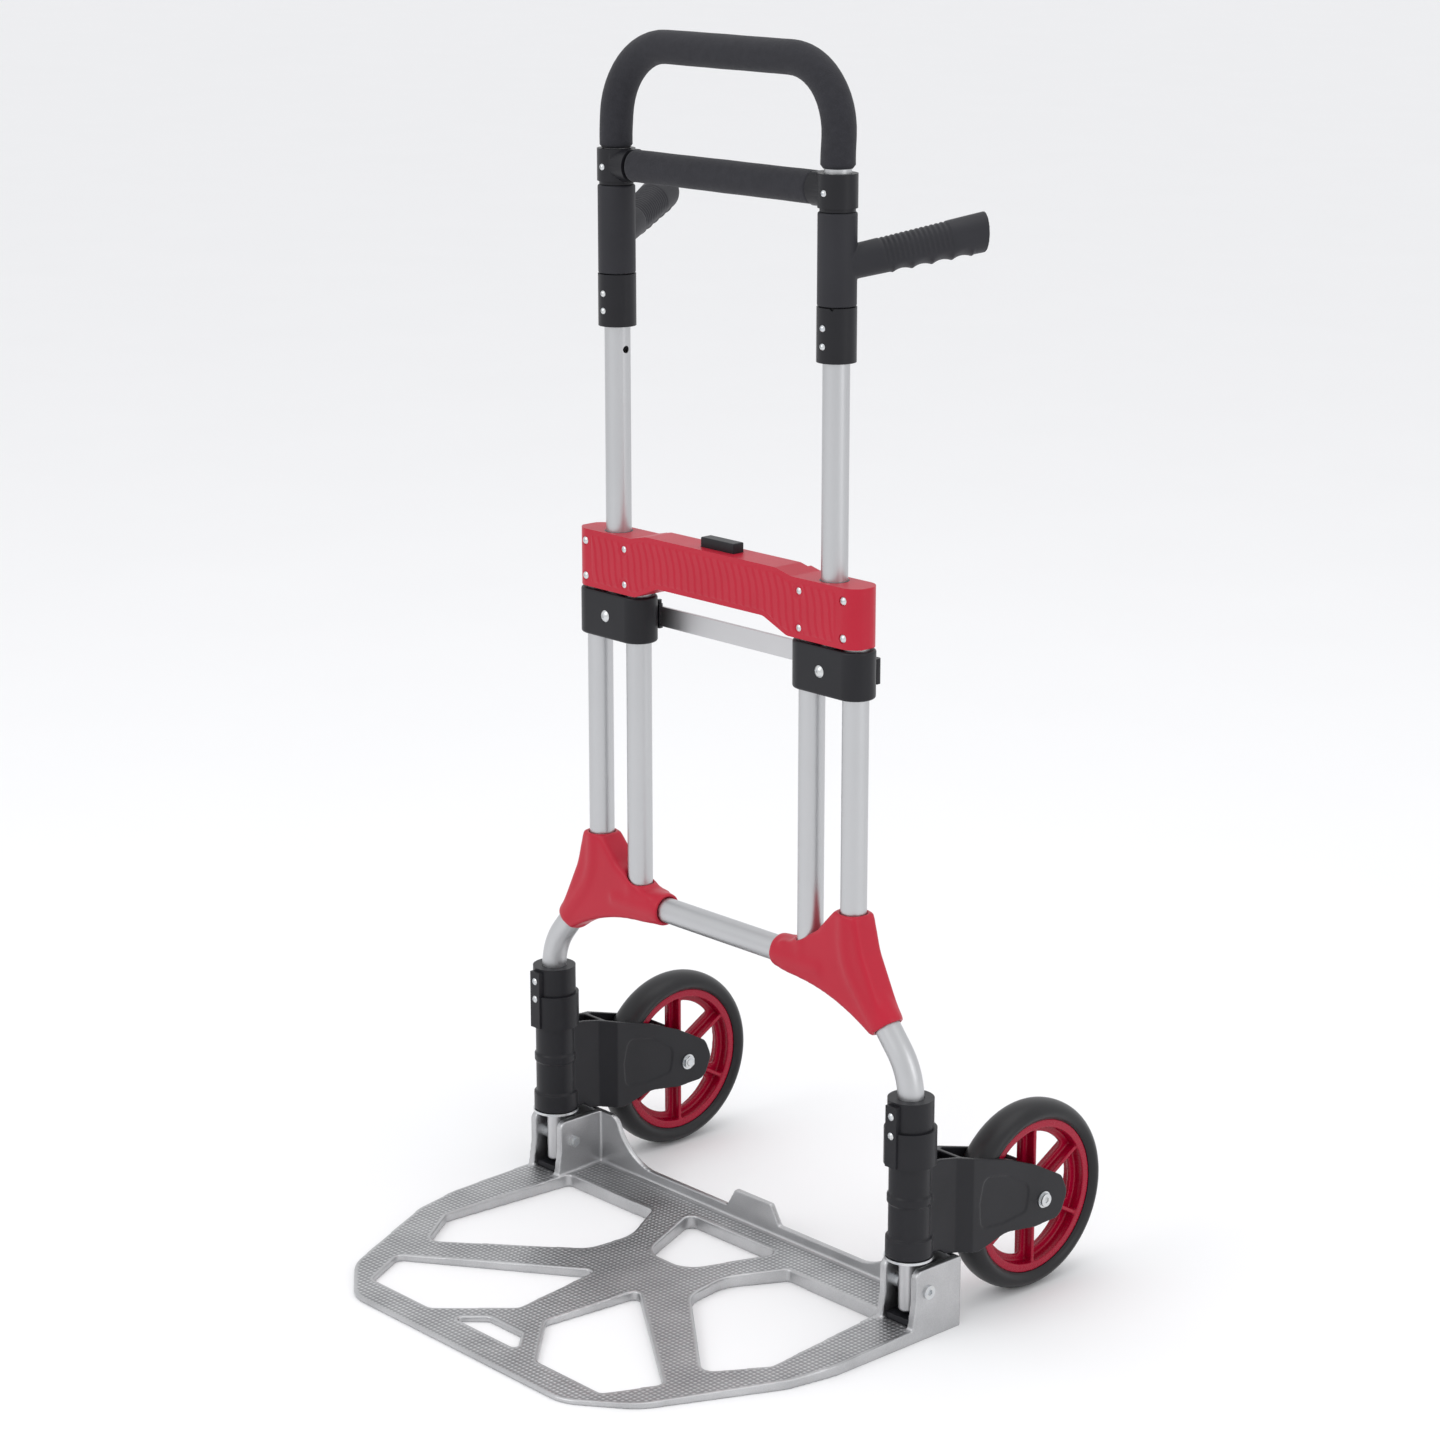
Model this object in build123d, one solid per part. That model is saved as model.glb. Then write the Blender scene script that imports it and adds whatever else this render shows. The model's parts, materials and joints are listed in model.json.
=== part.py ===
"""Folding hand truck with a pull-out handle, turning wheel brackets and a folding toe plate.

Everything is drawn in millimetres with Y = 0 in the plane of the tubes, +Y towards the wheels,
-Y towards the toe plate and Z = 0 on the ground. save() moves each piece by FRAME_SHIFT, so that
the finished row has its origin at the middle of its footprint.
"""
import math
import os

from build123d import *

# ---------------------------------------------------------------- driving dimensions
GROUND_TO_TOP = 1190.0        # overall height with the handle pulled out
TUBE_R = 12.5                 # every tube is 25 mm outside
TUBE_WALL = 1.8
BORE_R = TUBE_R + 0.1         # bore that grips a tube of its own body
RUN_R = TUBE_R + 0.05         # bore that runs on a tube

POST_X = 257.0                # posts that the wheel brackets turn on
OUTER_X = 179.1               # outer frame tubes
HANDLE_X = 150.0              # sliding legs of the handle
INNER_X = 121.5               # inner frame tubes

# toe plate
PLATE_HALF = 281.5
PLATE_REACH = 341.0           # front edge, ahead of the tubes
PLATE_BACK = 46.0             # rear edge, behind the tubes
PLATE_REAR_TOP = 14.7
PLATE_FRONT_TOP = 4.5
LIP_T = 6.0
LIP_TOP = 25.5
TAB_TOP = 45.0
EAR_TOP = 70.5
EAR_T = 8.0
EAR_FRONT = -14.0
CLEVIS_HALF = 24.5            # from the post axis to each ear's outer face
PIVOT_Y = 2.0
PIVOT_Z = 47.0
PIVOT_R = 4.0
TONGUE_R = 9.3                # round foot of the post, inside the clevis

# post stack, heights above the ground
WASHER_Z = 76.0
WASHER_T = 2.5
HUB_BOTTOM = 79.0
HUB_TOP = 170.6
COLLAR_BOTTOM = 171.0
COLLAR_STEP = 206.0
COLLAR_TOP = 235.0
BEND_R = 70.0
BEND_DEG = 40.0
BEND_BOTTOM = 232.0           # where the post's straight run ends

# wheels
WHEEL_R = 94.3
WHEEL_X = 255.5
WHEEL_Y = 162.0               # so that the stowed tyres just clear each other
TYRE_HALF = 17.8
RIM_R = 76.5
RIM_HALF = 13.0
HUB_R = 17.0
SPOKES = 6
SPOKE_T = 4.0
FLANGE = 7.5                   # half width of the web behind each spoke
WEB_T = 4.0
WEB_IN = 22.0                  # the web's windows lie between these radii
WEB_OUT = 61.5
AXLE_R = 4.0
ARM_IN = 19.0                 # wheel plane to the arm's inner face
ARM_OUT = 24.0

# gusset and cross tube
CROSS_Z = 335.5
CROSS_HALF = 105.0
GUSSET_TOP = 398.0
GUSSET_INNER_TOP = 357.0
GUSSET_R = 17.0
GUSSET_MOUTH_X = 226.5

# clamps and cross bar
CLAMP_BOTTOM = 602.0
CLAMP_TOP = 648.0
CLAMP_DEPTH = 38.0
CLAMP_LENGTH = 94.0
BAR_BOTTOM = 650.5
BAR_TOP = 707.5
BAR_MID_BOTTOM = 664.0
BAR_MID_TOP = 712.5
BAR_HALF = 196.0
BAR_DEPTH = 37.0
BAR_MID_REAR = 14.5
SCREW_Z = (660.4, 695.4)
SEAT_DEPTH = 0.9              # how far each screw head sits in
OUTER_TUBE_TOP = 702.0
INNER_TUBE_TOP = 683.5
STRAP_Z = 624.5

# handle
TRAVEL = 197.0
HANDLE_BOTTOM = 606.0
COLLAR_LOW = 908.5
GRIP_LOW = 958.6
GRIP_HIGH = 1042.8
TEE_LOW = 1043.2
TEE_HIGH = 1077.0
TEE_R = 18.3
CROSS_GRIP_Z = 1062.0
FOAM_R = 15.8
D_LEAN = 5.0
D_LEAN_Z = 1092.0
D_BEND_R = 66.0
SIDE_GRIP_Z = 995.0
SIDE_GRIP_END = Vector(63.5, 111.0, 24.6)

# release mechanism
PIN_Z = 689.0
PIN_R = 3.0
PIN_TIP = 137.0
PIN_STROKE = 5.0
PEG_X = 78.0
BUTTON_HALF = 23.0
BUTTON_FRONT = -8.2
BUTTON_BACK = 5.2

FRAME_SHIFT = (PLATE_REACH - WHEEL_Y - WHEEL_R) / 2   # puts the footprint's middle at Y = 0


# ---------------------------------------------------------------- helpers
def save(name, piece):
    """Write one node, moved into the row's frame."""
    export_step(Pos(0, FRAME_SHIFT, 0) * piece, f"parts/{name}.step")


def save_pair(name, right):
    """Write a right-hand piece and its mirror image."""
    save("right_" + name, right)
    save("left_" + name, mirror(right, about=Plane.YZ))


def both(right):
    """The right-hand solids and their mirror images, as one group."""
    return Compound(children=list(right.solids()) + list(mirror(right, about=Plane.YZ).solids()))


def post(radius, low, high, x=0.0, y=0.0):
    """Upright cylinder between two heights."""
    return Pos(x, y, (low + high) / 2) * Cylinder(radius, high - low)


def ring(outer, inner, low, high, x=0.0, y=0.0):
    return post(outer, low, high, x, y) - post(inner, low - 1, high + 1, x, y)


def rod_x(radius, start, end, y, z):
    """Cylinder along X."""
    return Pos((start + end) / 2, y, z) * Rot(0, 90, 0) * Cylinder(radius, abs(end - start))


def rod_y(radius, start, end, x, z):
    """Cylinder along Y."""
    return Pos(x, (start + end) / 2, z) * Rot(90, 0, 0) * Cylinder(radius, abs(end - start))


def block(low, high):
    """Box between two corners."""
    size = [b - a for a, b in zip(low, high)]
    centre = [(a + b) / 2 for a, b in zip(low, high)]
    return Pos(*centre) * Box(*size)


def swept(path, outer, inner=None):
    """Round bar or tube along a path."""
    section = Circle(outer)
    if inner is not None:
        section = section - Circle(inner)
    start = Plane(origin=path @ 0, z_dir=path % 0)
    return sweep(start * section, path=path)


def dome(radius, height, x, y, z):
    """Low rounded fastener head that stands on a face looking to -Y."""
    sphere_r = (radius**2 + height**2) / (2 * height)
    ball = Pos(x, y + sphere_r - height, z) * Sphere(sphere_r)
    head = ball & block((x - radius, y - height - 1, z - radius), (x + radius, y, z + radius))
    return head - rod_y(radius * 0.3, y - height - 1, y - height * 0.6, x, z)


# ---------------------------------------------------------------- frame tubes
def frame_path(low, high):
    """Centre line of the right frame tube from the post up to the cross bar."""
    tangent = BEND_R * math.tan(math.radians(BEND_DEG) / 2)
    low_corner = BEND_BOTTOM + tangent
    high_corner = low_corner + (POST_X - OUTER_X) / math.tan(math.radians(BEND_DEG))
    corners = [(POST_X, 0, low), (POST_X, 0, low_corner), (OUTER_X, 0, high_corner), (OUTER_X, 0, high)]
    return FilletPolyline(*corners, radius=BEND_R)


def frame_tubes():
    tube = swept(frame_path(HUB_BOTTOM + 0.5, OUTER_TUBE_TOP), TUBE_R, TUBE_R - TUBE_WALL)
    save_pair("frame_tube", tube)
    inner_bottom = CROSS_Z - 6
    save_pair("inner_tube", ring(TUBE_R, TUBE_R - TUBE_WALL, inner_bottom, INNER_TUBE_TOP, INNER_X))
    cross = rod_x(TUBE_R, -CROSS_HALF, CROSS_HALF, 0, CROSS_Z)
    cross -= rod_x(TUBE_R - TUBE_WALL, -CROSS_HALF - 1, CROSS_HALF + 1, 0, CROSS_Z)
    save("cross_tube", cross)


def gusset():
    """Three-way moulding round the bent tube, the inner tube and the cross tube."""
    tangent = BEND_R * math.tan(math.radians(BEND_DEG) / 2)
    high_corner = BEND_BOTTOM + tangent + (POST_X - OUTER_X) / math.tan(math.radians(BEND_DEG))
    drop = (GUSSET_MOUTH_X - OUTER_X) / math.tan(math.radians(BEND_DEG))
    spine = FilletPolyline((OUTER_X, 0, GUSSET_TOP), (OUTER_X, 0, high_corner),
                           (GUSSET_MOUTH_X, 0, high_corner - drop), radius=BEND_R)
    body = swept(spine, GUSSET_R)
    body += rod_x(GUSSET_R, 80, 150, 0, CROSS_Z)
    body += post(GUSSET_R - 1, CROSS_Z, GUSSET_INNER_TOP, INNER_X)
    with BuildSketch(Plane.XZ) as web:
        with BuildLine():
            Polyline((92, 351), (108, 352.5), (142, 372), (164, 396), (194, 396), (203, 362), (232, 302),
                     (214, 287))
            ThreePointArc((214, 287), (166, 309), (112, 319))
            Polyline((112, 319), (92, 321), (92, 351))
        make_face()
    body += extrude(web.sketch, amount=GUSSET_R - 2, both=True)
    body -= swept(frame_path(200, GUSSET_TOP + 5), BORE_R)
    body -= post(BORE_R, CROSS_Z - 6.1, GUSSET_TOP, INNER_X)
    body -= rod_x(BORE_R, 70, CROSS_HALF + 0.1, 0, CROSS_Z)
    save_pair("gusset", body)


# ---------------------------------------------------------------- toe plate and its clevises
def arc_corner(points, radii):
    """Closed face with a rounded corner of the given radius at each point."""
    with BuildSketch(Plane.XY) as face:
        with BuildLine():
            FilletPolyline(*points, radius=radii, close=True)
        make_face()
    return face.sketch


def plate_outline():
    right = [(155, -PLATE_REACH), (212, -297), (272, -170), (PLATE_HALF, -120), (PLATE_HALF, PLATE_BACK)]
    left = [(-x, y) for x, y in reversed(right)]
    return arc_corner(right + left, [50, 60, 50, 60, 1.5, 1.5, 60, 50, 60, 50])


def plate_windows():
    """Lightening windows, as flat faces: one rear middle, two side, two front and a slot."""
    middle = arc_corner([(66, 14.5), (28, -76), (-28, -76), (-66, 14.5)], [8, 30, 30, 8])
    side = arc_corner([(100, -6), (69, -62), (76, -112), (203, -213), (240, -160), (229, -6.5)],
                      [5, 45, 30, 12, 10, 6])
    front = arc_corner([(31, -139), (197, -255), (170, -307), (80, -307), (20, -246)],
                       [6, 8, 8, 14, 10])
    slot = arc_corner([(-24, -279), (24, -279), (48, -304), (-48, -304)], [3, 3, 4, 4])
    return [middle, side, mirror(side, about=Plane.YZ), front, mirror(front, about=Plane.YZ), slot]


def rear_wall():
    """Lip, centre tab and the wall that joins each pair of ears, seen from the front."""
    with BuildSketch(Plane.XZ) as face:
        with BuildLine():
            half = [(0, TAB_TOP), (26, TAB_TOP), (38, LIP_TOP), (150, LIP_TOP)]
            Polyline(*half)
            ThreePointArc((150, LIP_TOP), (186, 38), (205, 62))
            ThreePointArc((205, 62), (210, 68), (218, EAR_TOP))
            Polyline((218, EAR_TOP), (PLATE_HALF, EAR_TOP), (PLATE_HALF, 0), (0, 0), (0, TAB_TOP))
        make_face()
    right = Pos(0, PLATE_BACK, 0) * extrude(face.sketch, amount=LIP_T)
    return right + mirror(right, about=Plane.YZ)


def ear(x_low):
    """One upright ear with a rounded front top corner."""
    with BuildSketch(Plane.YZ) as face:
        with BuildLine():
            FilletPolyline((EAR_FRONT - 6, 0), (EAR_FRONT, EAR_TOP - 30), (EAR_FRONT, EAR_TOP),
                           (PLATE_BACK, EAR_TOP), (PLATE_BACK, 0), radius=[1, 20, 8, 1, 1], close=True)
        make_face()
    return Pos(x_low, 0, 0) * extrude(face.sketch, amount=EAR_T)


def toe_plate():
    with BuildSketch(Plane.YZ) as wedge:
        with BuildLine():
            Polyline((-PLATE_REACH, 0), (PLATE_BACK, 0), (PLATE_BACK, PLATE_REAR_TOP),
                     (-PLATE_REACH, PLATE_FRONT_TOP), (-PLATE_REACH, 0))
        make_face()
    plate = extrude(wedge.sketch, amount=PLATE_HALF, both=True)
    plate &= extrude(plate_outline(), amount=20)
    for window in plate_windows():
        plate -= Pos(0, 0, -1) * extrude(window, amount=22)
    plate += rear_wall()
    inner_ear = POST_X - CLEVIS_HALF
    outer_ear = POST_X + CLEVIS_HALF - EAR_T
    for x_low in (inner_ear, outer_ear):
        plate += ear(x_low) + mirror(ear(x_low), about=Plane.YZ)
    floor = block((inner_ear + EAR_T, EAR_FRONT + 1, 6), (outer_ear, PLATE_BACK - LIP_T, 20))
    plate -= floor + mirror(floor, about=Plane.YZ)
    bore = rod_x(PIVOT_R + 0.03, inner_ear - 1, outer_ear + EAR_T + 1, PIVOT_Y, PIVOT_Z)
    plate -= bore + mirror(bore, about=Plane.YZ)
    save("toe_plate", plate)

    pad_back = PLATE_BACK - LIP_T - 0.1
    pad = block((inner_ear + EAR_T + 0.1, EAR_FRONT + 1.1, 6.1), (outer_ear - 0.1, pad_back, 18.5))
    save("clevis_pads", both(pad))
    hinge_screws(inner_ear, outer_ear + EAR_T)


def hinge_screws(inner_face, outer_face):
    """Screw through each clevis: round socket head outside, hexagon nut inside, two spacers."""
    screw = rod_x(PIVOT_R, inner_face - 5, outer_face, PIVOT_Y, PIVOT_Z)
    screw += rod_x(6.8, outer_face, outer_face + 2.2, PIVOT_Y, PIVOT_Z)
    socket = extrude(RegularPolygon(3.2, 6), amount=-2)
    socket = Pos(outer_face + 2.2, PIVOT_Y, PIVOT_Z) * Rot(0, 90, 0) * socket
    save("hinge_screws", both(screw - socket))
    nut = Pos(inner_face, PIVOT_Y, PIVOT_Z) * Rot(0, -90, 0) * extrude(RegularPolygon(6.6, 6), amount=3.6)
    nut -= rod_x(PIVOT_R + 0.03, inner_face - 5, inner_face + 1, PIVOT_Y, PIVOT_Z)
    save("hinge_nuts", both(nut))
    spacer_r = 7.0
    gap_low, gap_high = inner_face + EAR_T, outer_face - EAR_T
    spacers = []
    for start, end in ((gap_low, POST_X - TONGUE_R - 0.2), (POST_X + TONGUE_R + 0.2, gap_high)):
        tube = rod_x(spacer_r, start, end, PIVOT_Y, PIVOT_Z)
        tube -= rod_x(PIVOT_R + 0.05, start - 1, end + 1, PIVOT_Y, PIVOT_Z)
        spacers.append(tube)
    save("hinge_spacers", both(Compound(children=spacers)))


# ---------------------------------------------------------------- post stack
def post_stack():
    collar = post(22, COLLAR_STEP, COLLAR_TOP, POST_X) + post(25, COLLAR_BOTTOM, COLLAR_STEP, POST_X)
    rib = block((POST_X - 7, -26.5, COLLAR_BOTTOM + 1), (POST_X + 7, -10, COLLAR_TOP - 3))
    collar = collar + rib - post(BORE_R + 0.1, COLLAR_BOTTOM - 1, COLLAR_TOP + 1, POST_X)
    rivets = []
    for height in (COLLAR_STEP - 3, COLLAR_STEP + 16):
        collar -= rod_y(2.05, -27, -10, POST_X, height)
        rivets.append(rod_y(2.0, -26.5, -12.8, POST_X, height) + dome(3.6, 1.6, POST_X, -26.5, height))
    save_pair("post_collar", collar)
    save("collar_rivets", both(Compound(children=rivets)))

    save("post_washers", both(ring(23.5, 10.7, WASHER_Z, WASHER_Z + WASHER_T, POST_X)))
    foot = post(TUBE_R - TUBE_WALL - 0.1, WASHER_Z, 112, POST_X)
    tongue = post(TONGUE_R, PIVOT_Z - 25, WASHER_Z, POST_X)
    tongue = fillet(tongue.edges().group_by(Axis.Z)[0], 3)
    foot = foot + tongue - rod_x(PIVOT_R + 0.05, POST_X - TUBE_R, POST_X + TUBE_R, PIVOT_Y, PIVOT_Z)
    save_pair("post_foot", foot)


# ---------------------------------------------------------------- wheel brackets and wheels
def wheel_bracket():
    with BuildSketch(Plane.YZ) as side:
        with BuildLine():
            FilletPolyline((0, 170.4), (26.5, 170.4), (62, 163), (111, 149), (150, 133), (188, 112),
                           (196, 93), (186, 70), (150, 69), (110, 75), (72, 66), (34, 73), (25, 80), (0, 80),
                           radius=[1, 1, 30, 30, 30, 14, 14, 14, 40, 40, 10, 4, 2, 1], close=True)
        make_face()
    side_body = Pos(POST_X - 40, 0, 0) * extrude(side.sketch, amount=80)
    root_in, root_out = POST_X - 16, POST_X + 16
    with BuildSketch(Plane.XY) as plan:
        with BuildLine():
            Polyline((root_in, 0), (root_in, 46), (WHEEL_X - ARM_OUT, 63), (WHEEL_X - ARM_OUT, 200),
                     (WHEEL_X - ARM_IN, 200), (WHEEL_X - ARM_IN, 64), (WHEEL_X - 14, 56),
                     (WHEEL_X + 14, 56), (WHEEL_X + ARM_IN, 64), (WHEEL_X + ARM_IN, 200),
                     (WHEEL_X + ARM_OUT, 200), (WHEEL_X + ARM_OUT, 63), (root_out, 46), (root_out, 0),
                     (root_in, 0))
        make_face()
    body = side_body & (Pos(0, 0, 60) * extrude(plan.sketch, amount=120))
    body -= block((root_in + 4, 24, 84), (root_out - 4, 50, 180))
    body += post(20, HUB_BOTTOM, HUB_TOP, POST_X)
    body += post(21.5, 132, 140, POST_X) + post(22.5, HUB_BOTTOM, 98, POST_X)
    body -= post(RUN_R, HUB_BOTTOM - 1, HUB_TOP + 1, POST_X)
    body -= rod_x(AXLE_R + 0.05, WHEEL_X - 30, WHEEL_X + 30, WHEEL_Y, WHEEL_R)
    save_pair("wheel_bracket", body)


def wheel():
    """Rim, tyre, bearings and the axle set of the right wheel."""
    def spun(face):
        lathe = Axis((WHEEL_X, WHEEL_Y, WHEEL_R), (1, 0, 0))
        plane = Plane(origin=(WHEEL_X, WHEEL_Y, WHEEL_R), x_dir=(1, 0, 0), z_dir=(0, -1, 0))
        return revolve(plane * face, axis=lathe)

    barrel = Polyline((-RIM_HALF, 68.5), (RIM_HALF, 68.5), (RIM_HALF, RIM_R), (RIM_HALF - 2, RIM_R),
                      (RIM_HALF - 2, 73), (2 - RIM_HALF, 73), (2 - RIM_HALF, RIM_R), (-RIM_HALF, RIM_R),
                      close=True)
    rim = spun(make_face(barrel))
    hub = Polyline((-18.4, 0), (18.4, 0), (18.4, HUB_R - 2), (10, HUB_R), (-10, HUB_R), (-18.4, HUB_R - 2),
                   close=True)
    rim += spun(make_face(hub))
    for turn in range(SPOKES):
        spoke = block((-11.5, -SPOKE_T / 2, HUB_R - 3), (11.5, SPOKE_T / 2, 70))
        rim += Pos(WHEEL_X, WHEEL_Y, WHEEL_R) * Rot(360 / SPOKES * turn, 0, 0) * spoke
    windows = Circle(WEB_OUT) - Circle(WEB_IN)
    backing = Pos(WEB_OUT / 2, 0) * Rectangle(WEB_OUT + 4, 2 * FLANGE)
    for turn in range(SPOKES):
        windows -= Rot(0, 0, 90 + 360 / SPOKES * turn) * backing
    windows = fillet(windows.vertices(), 4)
    web = Circle(70) - windows
    web_plane = Plane(origin=(WHEEL_X - WEB_T / 2, WHEEL_Y, WHEEL_R), x_dir=(0, 1, 0), z_dir=(1, 0, 0))
    rim += web_plane * extrude(web, amount=WEB_T)
    rim -= rod_x(11.05, WHEEL_X - 20, WHEEL_X + 20, WHEEL_Y, WHEEL_R)
    save_pair("rim", rim)

    seat_half, seat_r = RIM_HALF - 2.1, 73.1
    shoulder = [(15.6, 78.4), (TYRE_HALF, 85), (12.8, WHEEL_R - 3.4), (0, WHEEL_R)]
    crown = [*shoulder, *[(-x, r) for x, r in reversed(shoulder[:-1])]]
    outline = Polyline((15.6, 78.4), (13.4, RIM_R + 0.1), (seat_half, RIM_R + 0.1), (seat_half, seat_r),
                       (-seat_half, seat_r), (-seat_half, RIM_R + 0.1), (-13.4, RIM_R + 0.1), (-15.6, 78.4))
    save_pair("tyre", spun(make_face(outline + Spline(*crown))))

    bearings = []
    for side in (-1, 1):
        inner, outer = sorted((WHEEL_X + side * 10, WHEEL_X + side * 18.3))
        race = rod_x(11.0, inner, outer, WHEEL_Y, WHEEL_R)
        bearings.append(race - rod_x(6.05, inner - 1, outer + 1, WHEEL_Y, WHEEL_R))
    save_pair("wheel_bearings", Compound(children=bearings))

    sleeve = rod_x(6.0, WHEEL_X - ARM_IN + 0.1, WHEEL_X + ARM_IN - 0.1, WHEEL_Y, WHEEL_R)
    sleeve -= rod_x(AXLE_R + 0.05, WHEEL_X - 25, WHEEL_X + 25, WHEEL_Y, WHEEL_R)
    save_pair("axle_sleeve", sleeve)
    face_in, face_out = WHEEL_X - ARM_OUT, WHEEL_X + ARM_OUT
    washer_t = 0.9
    bolt = rod_x(AXLE_R, face_in - 4.6, face_out + washer_t, WHEEL_Y, WHEEL_R)
    bolt += rod_x(6.5, face_out + washer_t, face_out + 4, WHEEL_Y, WHEEL_R)
    socket = Pos(face_out + 4, WHEEL_Y, WHEEL_R) * Rot(0, 90, 0) * extrude(RegularPolygon(3, 6), amount=-2)
    save_pair("axle_bolt", bolt - socket)
    nut = extrude(RegularPolygon(7, 6), amount=2.8)
    nut = Pos(face_in - washer_t, WHEEL_Y, WHEEL_R) * Rot(0, -90, 0) * nut
    save_pair("axle_nut", nut - rod_x(AXLE_R + 0.03, face_in - 8, face_in, WHEEL_Y, WHEEL_R))
    washers = []
    for start in (face_in - washer_t, face_out):
        disc = rod_x(8.2, start, start + washer_t, WHEEL_Y, WHEEL_R)
        washers.append(disc - rod_x(AXLE_R + 0.05, start - 1, start + 2, WHEEL_Y, WHEEL_R))
    save_pair("axle_washers", Compound(children=washers))


# ---------------------------------------------------------------- clamps, strap and cross bar
def clamps():
    clamp = Pos((INNER_X + OUTER_X) / 2, 0, CLAMP_BOTTOM) * extrude(
        SlotOverall(CLAMP_LENGTH, CLAMP_DEPTH), amount=CLAMP_TOP - CLAMP_BOTTOM)
    clamp = fillet(clamp.edges().group_by(Axis.Z)[0] + clamp.edges().group_by(Axis.Z)[-1], 2.5)
    for x in (INNER_X, OUTER_X):
        clamp -= post(BORE_R, CLAMP_BOTTOM - 1, CLAMP_TOP + 1, x)
    bush_r = 13.9
    clamp -= post(bush_r + 0.05, CLAMP_BOTTOM - 1, CLAMP_TOP + 1, HANDLE_X)
    clamp -= rod_y(3.05, -20, -10, HANDLE_X, STRAP_Z)
    save_pair("clamp", clamp)
    save("guide_bushes", both(ring(bush_r, RUN_R, CLAMP_BOTTOM + 1, CLAMP_TOP, HANDLE_X)))
    bolt = rod_y(3.0, -19, -14.1, HANDLE_X, STRAP_Z) + dome(5.8, 2.6, HANDLE_X, -19, STRAP_Z)
    save("clamp_bolts", both(bolt))

    half_depth = CLAMP_DEPTH / 2
    strap_end = 178
    strap = block((-strap_end, half_depth + 2, STRAP_Z - 10), (strap_end, half_depth + 5, STRAP_Z + 10))
    save("tie_strap", strap)
    end_block = block((113, half_depth + 0.1, STRAP_Z - 12), (187, half_depth + 7, STRAP_Z + 12))
    end_block = fillet(end_block.edges().filter_by(Axis.Z).group_by(Axis.Y)[-1], 4)
    end_block -= block((100, half_depth + 1.9, STRAP_Z - 10.1),
                       (strap_end + 0.1, half_depth + 5.1, STRAP_Z + 10.1))
    end_block += post(2.6, STRAP_Z + 11, STRAP_Z + 16, 117, half_depth + 3.5)
    save("strap_ends", both(end_block))


def bar_outline():
    """Front view of the cross bar, waisted in the middle."""
    right = [(BAR_HALF, BAR_BOTTOM), (BAR_HALF, BAR_TOP), (112, BAR_TOP), (90, BAR_MID_TOP)]
    left = [(-x, z) for x, z in reversed(right)]
    waist = [(-106, BAR_BOTTOM), (-74, BAR_MID_BOTTOM), (74, BAR_MID_BOTTOM), (106, BAR_BOTTOM)]
    with BuildSketch(Plane.XZ) as face:
        with BuildLine():
            corner_radii = [2, 2, 14, 14, 14, 14, 2, 2, 14, 16, 16, 14]
            FilletPolyline(*right, *left, *waist, radius=corner_radii, close=True)
        make_face()
    return extrude(face.sketch, amount=BAR_DEPTH, both=True)


def cross_bar():
    plan = Pos(0, 0, BAR_BOTTOM - 5) * extrude(SlotOverall(2 * BAR_HALF, BAR_DEPTH), amount=80)
    bar = bar_outline() & plan
    bar -= block((-100, BAR_MID_REAR, 640), (100, 30, 720))
    bar -= block((-107, -12, BAR_MID_BOTTOM + 3), (107, 12, BAR_TOP - 2))
    bar -= block((-BUTTON_HALF - 0.3, BUTTON_FRONT - 0.3, 690), (BUTTON_HALF + 0.3, BUTTON_BACK + 0.3, 720))
    bush_r, bush_low = 13.9, 694.0
    for side in (-1, 1):
        bar -= post(BORE_R, BAR_BOTTOM - 1, OUTER_TUBE_TOP + 0.2, side * OUTER_X)
        bar -= post(BORE_R, BAR_BOTTOM - 1, INNER_TUBE_TOP + 0.2, side * INNER_X)
        bar -= post(TUBE_R + 0.4, BAR_BOTTOM - 1, BAR_TOP + 9, side * HANDLE_X)
        bar -= post(bush_r + 0.05, bush_low, BAR_TOP + 9, side * HANDLE_X)
        bar -= rod_x(PIN_R + 0.1, side * 100, side * PIN_TIP, 0, PIN_Z)
    front_face = BAR_DEPTH / 2
    screws = []
    for x in (INNER_X + 0.5, OUTER_X + 0.4):
        for z in SCREW_Z:
            seat = SEAT_DEPTH - front_face
            front = dome(3.9, 1.8, x, seat, z) + rod_y(2.0, seat, -12.9, x, z)
            screws += [front, mirror(front, about=Plane.XZ)]
            for side in (-1, 1):
                for face in (-1, 1):
                    bar -= rod_y(2.05, face * 12.8, face * (front_face + 1), side * x, z)
                    bar -= rod_y(4.6, face * (front_face - SEAT_DEPTH), face * (front_face + 1), side * x, z)
    front_half = block((-BAR_HALF - 5, -40, 640), (BAR_HALF + 5, 0, 730))
    save("crossbar_front", bar & front_half)
    save("crossbar_rear", bar - front_half)
    save("crossbar_screws", both(Compound(children=screws)))
    save("crossbar_bushes", both(ring(bush_r, RUN_R, bush_low + 0.2, BAR_TOP, HANDLE_X)))


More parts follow.
